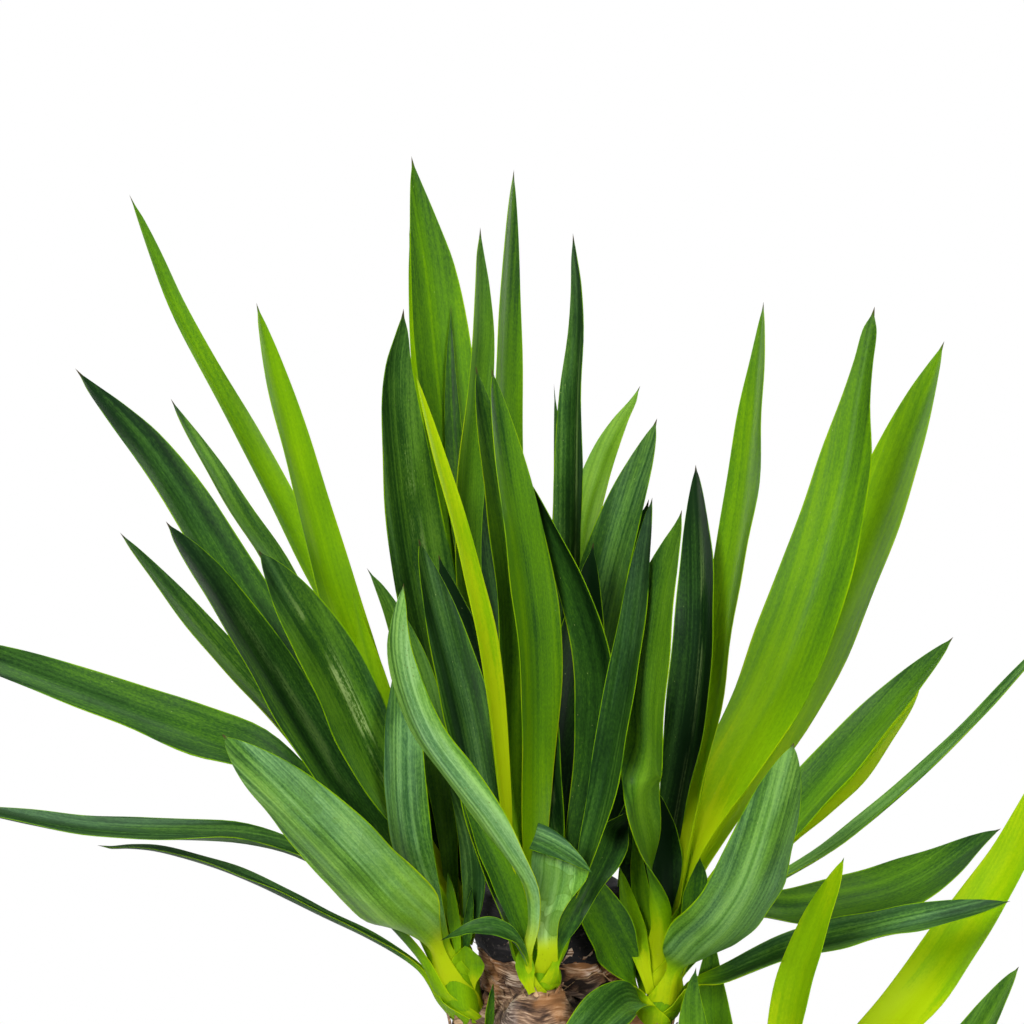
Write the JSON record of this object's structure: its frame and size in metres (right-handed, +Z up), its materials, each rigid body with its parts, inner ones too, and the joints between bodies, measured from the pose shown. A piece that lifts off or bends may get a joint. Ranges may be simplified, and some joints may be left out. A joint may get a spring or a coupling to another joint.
{
  "type": "potted yucca",
  "caption": "Yucca with a tall and a short wax-topped cane and side shoots of long sword-shaped leaves, in a plain tapered clay pot of soil",
  "frame": {"origin": "centre of the pot's flat underside, on the surface that the pot stands on", "axes": "+Z up; -Y is the front, the side that the plant is looked at from; +X is to its right"},
  "size_m": [0.568, 0.379, 0.818],
  "materials": {
    "clay": "unglazed fired clay, dry and slightly dusty",
    "soil": "damp bark and peat potting mix",
    "bark": "fibrous peeling grey-brown bark",
    "wax": "brushed-on dark sealing wax, dull",
    "stem": "pale yellow-green sheathing leaf bases",
    "leaf": "smooth waxy leaf, satin, with a thin yellow-green margin"
  },
  "bodies": {
    "root": {"pot": "clay", "soil": "soil", "tall_cane": "bark", "tall_cane_wax": "wax", "short_cane": "bark", "short_cane_wax": "wax", "left_shoot_stem": "stem", "centre_shoot_stem": "stem", "right_shoot_stem": "stem", "back_shoot_stem": "stem", "lower_shoot_stem": "stem", "bud_sprout": "stem", "left_leaf_01": "leaf", "left_leaf_02": "leaf", "left_leaf_03": "leaf", "left_leaf_04": "leaf", "left_leaf_05": "leaf", "left_leaf_06": "leaf", "left_leaf_07": "leaf", "left_leaf_08": "leaf", "left_leaf_09": "leaf", "left_leaf_10": "leaf", "left_leaf_11": "leaf", "left_leaf_12": "leaf", "centre_leaf_01": "leaf", "centre_leaf_02": "leaf", "centre_leaf_03": "leaf", "centre_leaf_04": "leaf", "centre_leaf_05": "leaf", "centre_leaf_06": "leaf", "centre_leaf_07": "leaf", "centre_leaf_08": "leaf", "centre_leaf_09": "leaf", "centre_leaf_10": "leaf", "right_leaf_01": "leaf", "right_leaf_02": "leaf", "right_leaf_03": "leaf", "right_leaf_04": "leaf", "right_leaf_05": "leaf", "right_leaf_06": "leaf", "right_leaf_07": "leaf", "right_leaf_08": "leaf", "right_leaf_09": "leaf", "right_leaf_10": "leaf", "right_leaf_11": "leaf", "right_leaf_12": "leaf", "right_leaf_13": "leaf", "back_leaf_01": "leaf", "back_leaf_02": "leaf", "back_leaf_03": "leaf", "back_leaf_04": "leaf", "back_leaf_05": "leaf", "back_leaf_06": "leaf", "back_leaf_07": "leaf", "back_leaf_08": "leaf", "lower_leaf_01": "leaf", "lower_leaf_02": "leaf", "lower_leaf_03": "leaf", "lower_leaf_04": "leaf", "lower_leaf_05": "leaf"}
  },
  "joints": []
}
